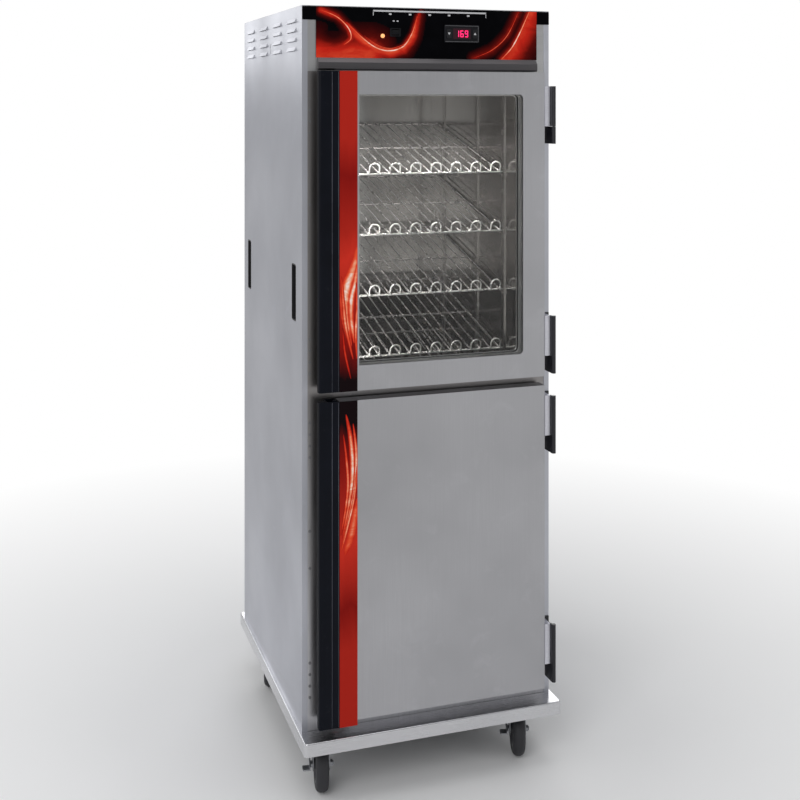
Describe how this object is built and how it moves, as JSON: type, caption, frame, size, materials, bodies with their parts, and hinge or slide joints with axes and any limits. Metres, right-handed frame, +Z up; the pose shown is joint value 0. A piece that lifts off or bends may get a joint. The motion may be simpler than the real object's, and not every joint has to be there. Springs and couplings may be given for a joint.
{
  "type": "food holding cabinet",
  "caption": "Tall insulated mobile holding cabinet with a glazed upper door, a solid lower door, sloping wire shelves, a control header and swivel casters.",
  "frame": {"origin": "on the floor under the middle of the bumper rectangle", "axes": "+X to the viewer's right across the front, +Y from the doors to the back, +Z up"},
  "size_m": [0.674, 0.8, 1.93],
  "materials": {
    "shell_steel": "satin",
    "front_steel": "satin",
    "door_steel": "satin",
    "liner_steel": "satin",
    "header_steel": "satin",
    "bumper_alloy": "satin",
    "pan_steel": "satin",
    "plated_wire": "polished",
    "rack_steel": "satin",
    "zinc_steel": "plated",
    "hinge_steel": "satin",
    "hinge_frame_steel": "satin",
    "screw_steel": "satin",
    "overlay_black": "glossy",
    "case_black": "moulded",
    "key_grey": "moulded",
    "display_red": "glossy",
    "lamp_amber": "glossy",
    "pull_black": "satin",
    "accent_red": "glossy",
    "grip_black": "moulded",
    "seal_black": "moulded",
    "wool": "fibrous",
    "core_foam": "foamed",
    "pane": "clear",
    "tyre": "moulded",
    "inlet_black": "moulded",
    "motor_steel": "satin",
    "fan_alloy": "pressed",
    "sheath_steel": "heat-tinted",
    "terminal_cream": "moulded"
  },
  "bodies": {
    "cabinet": {"air_baffle": "liner_steel", "back_panel": "shell_steel", "base_chassis": "pan_steel", "blower_motor": "motor_steel", "bumpers": "bumper_alloy", "caster_mounts": "zinc_steel", "control_overlay": "overlay_black", "control_panel": "header_steel", "controller_body": "case_black", "controller_display": "display_red", "drip_visor": "header_steel", "frame_rails": "front_steel", "frame_screws": "screw_steel", "frame_stiles": "front_steel", "hand_grips_left": "grip_black", "hand_grips_right": "grip_black", "heating_element": "sheath_steel", "hinge_frame_leaves": "hinge_frame_steel", "indicator_lamp": "lamp_amber", "insulation_boards": "wool", "liner_panels": "liner_steel", "power_inlet": "inlet_black", "racks": "rack_steel", "shelves_lower": "plated_wire", "shelves_upper": "plated_wire", "side_panel_left": "shell_steel", "side_panel_right": "shell_steel", "switch_housing": "case_black", "terminal_block": "terminal_cream", "top_panel": "shell_steel"},
    "door_upper": {"door_upper_accent": "accent_red", "door_upper_core": "core_foam", "door_upper_gasket": "seal_black", "door_upper_hinges": "hinge_steel", "door_upper_inner_panel": "liner_steel", "door_upper_panes": "pane", "door_upper_pull": "pull_black", "door_upper_skin": "door_steel", "door_upper_spacer": "fan_alloy"},
    "door_lower": {"door_lower_accent": "accent_red", "door_lower_core": "core_foam", "door_lower_gasket": "seal_black", "door_lower_hinges": "hinge_steel", "door_lower_inner_panel": "liner_steel", "door_lower_pull": "pull_black", "door_lower_skin": "door_steel"},
    "caster_front_left": {"caster_fork_front_left": "zinc_steel"},
    "wheel_front_left": {"caster_wheel_front_left": "tyre"},
    "caster_front_right": {"caster_fork_front_right": "zinc_steel"},
    "wheel_front_right": {"caster_wheel_front_right": "tyre"},
    "caster_back_left": {"caster_fork_back_left": "zinc_steel"},
    "wheel_back_left": {"caster_wheel_back_left": "tyre"},
    "caster_back_right": {"caster_fork_back_right": "zinc_steel"},
    "wheel_back_right": {"caster_wheel_back_right": "tyre"},
    "pedal_front_left": {"brake_pedal_front_left": "zinc_steel"},
    "pedal_front_right": {"brake_pedal_front_right": "zinc_steel"},
    "key_up": {"key_up": "key_grey"},
    "key_down": {"key_down": "key_grey"},
    "rocker": {"power_rocker": "case_black"},
    "fan": {"fan_wheel": "fan_alloy"}
  },
  "joints": [
    {"name": "door_upper_swing", "type": "hinge", "parent": "cabinet", "child": "door_upper", "pos_m": [0.318, -0.394, 1.382], "axis": [0, 0, 1], "range_deg": [0, 180]},
    {"name": "door_lower_swing", "type": "hinge", "parent": "cabinet", "child": "door_lower", "pos_m": [0.318, -0.394, 0.58], "axis": [0, 0, 1], "range_deg": [0, 180]},
    {"name": "caster_swivel_front_left", "type": "hinge", "parent": "cabinet", "child": "caster_front_left", "pos_m": [-0.266, -0.271, 0.14], "axis": [0, 0, 1], "continuous": true},
    {"name": "wheel_spin_front_left", "type": "hinge", "parent": "caster_front_left", "child": "wheel_front_left", "pos_m": [-0.2726, -0.30842, 0.0635], "axis": [0.9848, -0.1736, 0], "continuous": true},
    {"name": "brake_press_front_left", "type": "hinge", "parent": "caster_front_left", "child": "pedal_front_left", "pos_m": [-0.29797, -0.27958, 0.084], "axis": [0.9848, -0.1736, 0], "range_deg": [0, 18]},
    {"name": "caster_swivel_front_right", "type": "hinge", "parent": "cabinet", "child": "caster_front_right", "pos_m": [0.266, -0.271, 0.14], "axis": [0, 0, 1], "continuous": true},
    {"name": "wheel_spin_front_right", "type": "hinge", "parent": "caster_front_right", "child": "wheel_front_right", "pos_m": [0.25489, -0.30734, 0.0635], "axis": [0.9563, -0.2924, 0], "continuous": true},
    {"name": "brake_press_front_right", "type": "hinge", "parent": "caster_front_right", "child": "pedal_front_right", "pos_m": [0.23322, -0.27562, 0.084], "axis": [0.9563, -0.2924, 0], "range_deg": [0, 18]},
    {"name": "caster_swivel_back_left", "type": "hinge", "parent": "cabinet", "child": "caster_back_left", "pos_m": [-0.266, 0.301, 0.14], "axis": [0, 0, 1], "continuous": true},
    {"name": "wheel_spin_back_left", "type": "hinge", "parent": "caster_back_left", "child": "wheel_back_left", "pos_m": [-0.27519, 0.26413, 0.0635], "axis": [0.9703, -0.2419, 0], "continuous": true},
    {"name": "caster_swivel_back_right", "type": "hinge", "parent": "cabinet", "child": "caster_back_right", "pos_m": [0.266, 0.301, 0.14], "axis": [0, 0, 1], "continuous": true},
    {"name": "wheel_spin_back_right", "type": "hinge", "parent": "caster_back_right", "child": "wheel_back_right", "pos_m": [0.26203, 0.26321, 0.0635], "axis": [0.9945, -0.1045, 0], "continuous": true},
    {"name": "key_down_press", "type": "slide", "parent": "cabinet", "child": "key_down", "axis": [0, 1, 0], "range_m": [0, 0.0012], "stiffness_N_per_m": 400},
    {"name": "key_up_press", "type": "slide", "parent": "cabinet", "child": "key_up", "axis": [0, 1, 0], "range_m": [0, 0.0012], "stiffness_N_per_m": 400},
    {"name": "rocker_tip", "type": "hinge", "parent": "cabinet", "child": "rocker", "pos_m": [-0.091, -0.339, 1.868], "axis": [-1, 0, 0], "range_deg": [0, 10]},
    {"name": "fan_spin", "type": "hinge", "parent": "cabinet", "child": "fan", "pos_m": [0, 0.059, 1.744], "axis": [0, 0, 1], "continuous": true}
  ]
}
